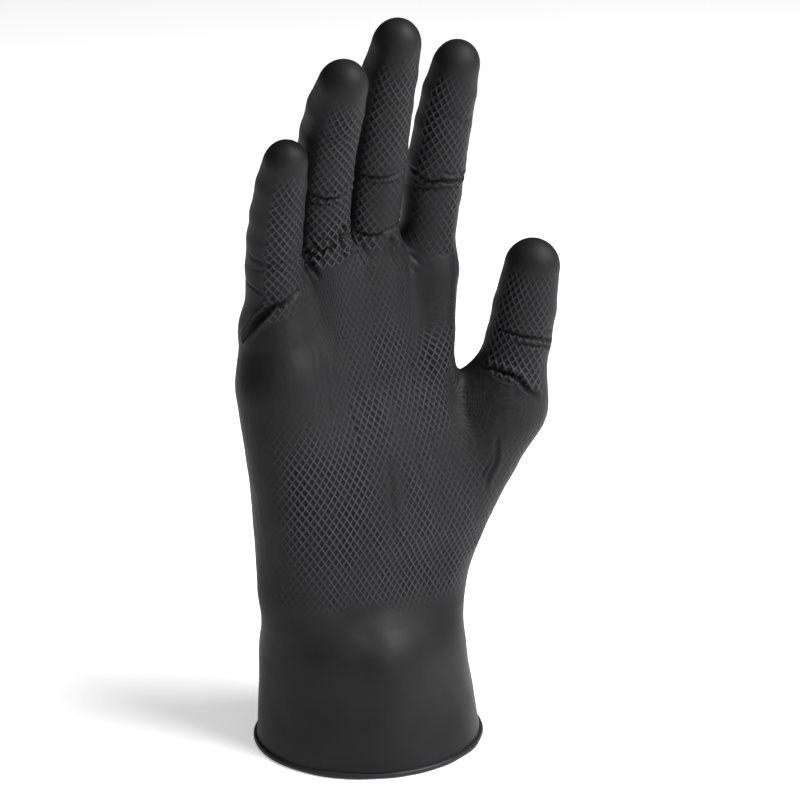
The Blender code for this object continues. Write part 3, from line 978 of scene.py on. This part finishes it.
def film_material(name, base, roughness, diamonds):
    material = bpy.data.materials.new(name)
    material.use_nodes = True
    tree = material.node_tree
    shader = tree.nodes["Principled BSDF"]
    shader.inputs["IOR"].default_value = 1.5
    shader.inputs["Specular IOR Level"].default_value = GLOSS_LEVEL

    def node(kind, **values):
        made = tree.nodes.new(kind)
        for key, value in values.items():
            setattr(made, key, value)
        return made

    def link(source, target):
        tree.links.new(source, target)

    def math(operation, first, second=None):
        made = node("ShaderNodeMath", operation=operation)
        for socket, value in zip(made.inputs, (first, second)):
            if value is None:
                continue
            if isinstance(value, (int, float)):
                socket.default_value = value
            else:
                link(value, socket)
        return made.outputs[0]

    def ranged(value, low, high):
        made = node("ShaderNodeMapRange")
        link(value, made.inputs["Value"])
        made.inputs["To Min"].default_value = low
        made.inputs["To Max"].default_value = high
        return made.outputs["Result"]

    def noise(scale, detail, seed):
        made = node("ShaderNodeTexNoise")
        made.noise_dimensions = "4D"
        link(place.outputs["Object"], made.inputs["Vector"])
        made.inputs["W"].default_value = seed
        made.inputs["Scale"].default_value = scale
        made.inputs["Detail"].default_value = detail
        return made.outputs["Fac"]

    place = node("ShaderNodeTexCoord")
    cloud = noise(38.0, 4.0, 1.0)
    grain = noise(2600.0, 2.0, 2.0)
    mottle = noise(420.0, 3.0, 3.0)
    tone_and_painted_light = ranged(cloud, 0.82, 1.18)
    tone_and_painted_light = math("MULTIPLY", tone_and_painted_light, ranged(mottle, 0.9, 1.1))
    gloss = math("ADD", ranged(cloud, roughness + 0.07, roughness - 0.07), ranged(mottle, -0.04, 0.04))
    relief = math("ADD", math("MULTIPLY", grain, 0.012), math("MULTIPLY", mottle, 0.03))
    if diamonds:
        stored = node("ShaderNodeAttribute", attribute_name="diamonds")
        split = node("ShaderNodeSeparateXYZ")
        link(stored.outputs["Vector"], split.inputs[0])
        across, along, amount = split.outputs
        amount = math("MULTIPLY", amount, ranged(noise(330.0, 1.0, 4.0), 0.3, 1.7))
        lines = []
        for operation in ("ADD", "SUBTRACT"):
            place_in_cell = math("FRACT", math("ADD", math(operation, across, along), 0.5))
            away = math("MULTIPLY", math("ABSOLUTE", math("SUBTRACT", place_in_cell, 0.5)), SPACING)
            line = node("ShaderNodeMapRange", interpolation_type="SMOOTHERSTEP")
            link(away, line.inputs["Value"])
            line.inputs["From Min"].default_value = CROWN
            line.inputs["From Max"].default_value = FOOT
            line.inputs["To Min"].default_value = 1.0
            line.inputs["To Max"].default_value = 0.0
            lines.append(line.outputs["Result"])
        ridge = math("MULTIPLY", math("MAXIMUM", lines[0], lines[1]), amount)
        relief = math("ADD", relief, math("MULTIPLY", ridge, SHADED_HEIGHT))
        # Painted highlight on the ridge crowns and painted shade in the pits between them, put into the
        # base colour.
        pit = math("SUBTRACT", amount, ridge)
        tone_and_painted_light = math("MULTIPLY", tone_and_painted_light, math("ADD", 1.0, math("MULTIPLY", ridge, RIDGE_PAINTED_HIGHLIGHT)))
        tone_and_painted_light = math("MULTIPLY", tone_and_painted_light, math("SUBTRACT", 1.0, math("MULTIPLY", pit, PIT_PAINTED_SHADE)))
        gloss = math("SUBTRACT", gloss, math("MULTIPLY", ridge, 0.05))
        # Painted shade in the creases, darker with their depth.
        crease_depth = node("ShaderNodeAttribute", attribute_name="creases")
        dark = math("SUBTRACT", 1.0, math("MULTIPLY", crease_depth.outputs["Fac"], CREASE_PAINTED_SHADE))
        tone_and_painted_light = math("MULTIPLY", tone_and_painted_light, dark)
    colour = node("ShaderNodeVectorMath", operation="SCALE")
    colour.inputs[0].default_value = base
    link(tone_and_painted_light, colour.inputs["Scale"])
    link(colour.outputs[0], shader.inputs["Base Color"])
    link(gloss, shader.inputs["Roughness"])
    bump = node("ShaderNodeBump")
    bump.inputs["Strength"].default_value = 0.8
    bump.inputs["Distance"].default_value = MM
    link(relief, bump.inputs["Height"])
    link(bump.outputs["Normal"], shader.inputs["Normal"])
    return material


BLACK = (0.0072, 0.0072, 0.0078)
BEAD_BLACK = (0.014, 0.014, 0.015)
FINISHES = {
    "grip_film": film_material("black_nitrile_grip", BLACK, 0.55, True),
    "smooth_film": film_material("black_nitrile_smooth", BLACK, 0.5, True),
    "bead": film_material("black_nitrile_bead", BEAD_BLACK, 0.4, False),
}
REPLACED = {
    "cuff_skin": ("cuff_sleeve",),
    "palm_skin": ("palm_film",),
    "back_skin": ("back_film",),
}
for stall in STALLS.values():
    REPLACED[stall.name + "_root_skin"] = (stall.name + "_base",)
    REPLACED[stall.name + "_tip_skin"] = (stall.name + "_tip",)
    if "middle" in stall.labels:
        REPLACED[stall.name + "_knuckle_skin"] = (stall.name + "_middle",)

for name, chosen in pieces.items():
    piece = film_piece(name, chosen)
    finish = "smooth_film" if name == "cuff_skin" else "grip_film"
    piece.data.materials.append(FINISHES[finish])
    if name in bends:
        before, after, start, end = bends[name]
        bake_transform(piece)
    else:
        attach(piece, "cuff" if name == "cuff_skin" else "hand")
    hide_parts(*REPLACED.get(name, ()))

bead = bead_piece()
bead.data.materials.append(FINISHES["bead"])
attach(bead, "cuff")
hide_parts("cuff_bead")


# The stage: a pale floor, soft lights and the camera

TARGET = np.array((2.0, 0.0, 118.0)) * MM
CAMERA_AZIMUTH = np.radians(-36.0)
CAMERA_ELEVATION = np.radians(17.0)
CAMERA_DISTANCE = 0.87
LENS = 122.4
CENTRE_SHIFT = (0.0278, -0.0123)

TOWARDS = np.array((np.sin(CAMERA_AZIMUTH) * np.cos(CAMERA_ELEVATION),
                    -np.cos(CAMERA_AZIMUTH) * np.cos(CAMERA_ELEVATION), np.sin(CAMERA_ELEVATION)))
RIGHT = np.array((np.cos(CAMERA_AZIMUTH), np.sin(CAMERA_AZIMUTH), 0.0))
UP = np.cross(TOWARDS, RIGHT)
LEVEL = np.cross(RIGHT, (0.0, 0.0, 1.0))
# Parts of the room: the way they lie (right, up, towards the camera), where they start and are
# full, as cosines, and their strength outside and inside.
STUDIO = (
    ((1.0, 0.3, 0.5), -0.05, 0.8, 0.04, 4.4),
    ((0.0, 0.1, -1.0), 0.6, 0.97, 0.04, 1.6),
    ((0.1, 1.0, 0.25), 0.5, 0.95, 0.04, 12.5),
)
FLOOR_SIZE = 6.0
FLOOR_TONE = 0.93
FLOOR_GLOW = 0.42


def aim(thing, place, target):
    thing.location = Vector(place)
    thing.rotation_euler = (Vector(target) - Vector(place)).to_track_quat("-Z", "Y").to_euler()
    bpy.context.scene.collection.objects.link(thing)


def soft_light(name, direction, distance, size, watts):
    light = bpy.data.lights.new(name, "AREA")
    light.shape = "DISK"
    light.size = size
    light.energy = watts
    thing = bpy.data.objects.new(name, light)
    right, up, towards = direction
    way = unit(RIGHT * right + UP * up + TOWARDS * towards)
    aim(thing, TARGET + way * distance, TARGET)


def studio_world():
    """A room that is brightest overhead, then on the thumb's side and behind the glove."""
    made = bpy.data.worlds.new("studio")
    made.use_nodes = True
    tree = made.node_tree
    direction = tree.nodes.new("ShaderNodeTexCoord").outputs["Generated"]
    strengths = []
    for way, low, high, dark, bright in STUDIO:
        dot = tree.nodes.new("ShaderNodeVectorMath")
        dot.operation = "DOT_PRODUCT"
        tree.links.new(direction, dot.inputs[0])
        dot.inputs[1].default_value = unit(RIGHT * way[0] + LEVEL * way[2] + np.array((0, 0, way[1])))
        ramp = tree.nodes.new("ShaderNodeMapRange")
        ramp.interpolation_type = "SMOOTHSTEP"
        tree.links.new(dot.outputs["Value"], ramp.inputs["Value"])
        for label, value in (("From Min", low), ("From Max", high), ("To Min", dark), ("To Max", bright)):
            ramp.inputs[label].default_value = value
        strengths.append(ramp.outputs["Result"])
    most = strengths[0]
    for strength in strengths[1:]:
        larger = tree.nodes.new("ShaderNodeMath")
        larger.operation = "MAXIMUM"
        tree.links.new(most, larger.inputs[0])
        tree.links.new(strength, larger.inputs[1])
        most = larger.outputs[0]
    # Past the floor's edge the camera sees plain white, whatever the room lends to the light.
    background = tree.nodes["Background"]
    seen = tree.nodes.new("ShaderNodeMix")
    tree.links.new(tree.nodes.new("ShaderNodeLightPath").outputs["Is Camera Ray"], seen.inputs["Factor"])
    tree.links.new(most, seen.inputs["A"])
    seen.inputs["B"].default_value = 1.0 / background.inputs["Color"].default_value[0]
    tree.links.new(seen.outputs["Result"], background.inputs["Strength"])
    return made


soft_light("key", (0.95, 0.8, 0.65), 1.3, 1.1, 44.0)
soft_light("rim", (-1.0, 0.3, -0.7), 1.2, 0.4, 0.5)
bpy.context.scene.world = studio_world()
bpy.context.scene.view_settings.view_transform = "Standard"

half = FLOOR_SIZE / 2
floor_mesh = bpy.data.meshes.new("floor")
floor_mesh.from_pydata([(-half, -half, 0), (half, -half, 0), (half, half, 0), (-half, half, 0)], [],
                       [(0, 1, 2, 3)])
floor = bpy.data.objects.new("floor", floor_mesh)
bpy.context.scene.collection.objects.link(floor)
floor_material = bpy.data.materials.new("pale_floor")
floor_material.use_nodes = True
floor_shader = floor_material.node_tree.nodes["Principled BSDF"]
floor_shader.inputs["Base Color"].default_value = (FLOOR_TONE, FLOOR_TONE, FLOOR_TONE, 1.0)
floor_shader.inputs["Roughness"].default_value = 0.8
# The floor is a translucent table that is lit from below.
floor_shader.inputs["Emission Color"].default_value = (1.0, 1.0, 1.0, 1.0)
floor_shader.inputs["Emission Strength"].default_value = FLOOR_GLOW
floor.data.materials.append(floor_material)

camera_data = bpy.data.cameras.new("camera")
camera_data.lens = LENS
camera_data.shift_x, camera_data.shift_y = CENTRE_SHIFT
camera = bpy.data.objects.new("camera", camera_data)
aim(camera, TARGET + TOWARDS * CAMERA_DISTANCE, TARGET)
bpy.context.scene.camera = camera
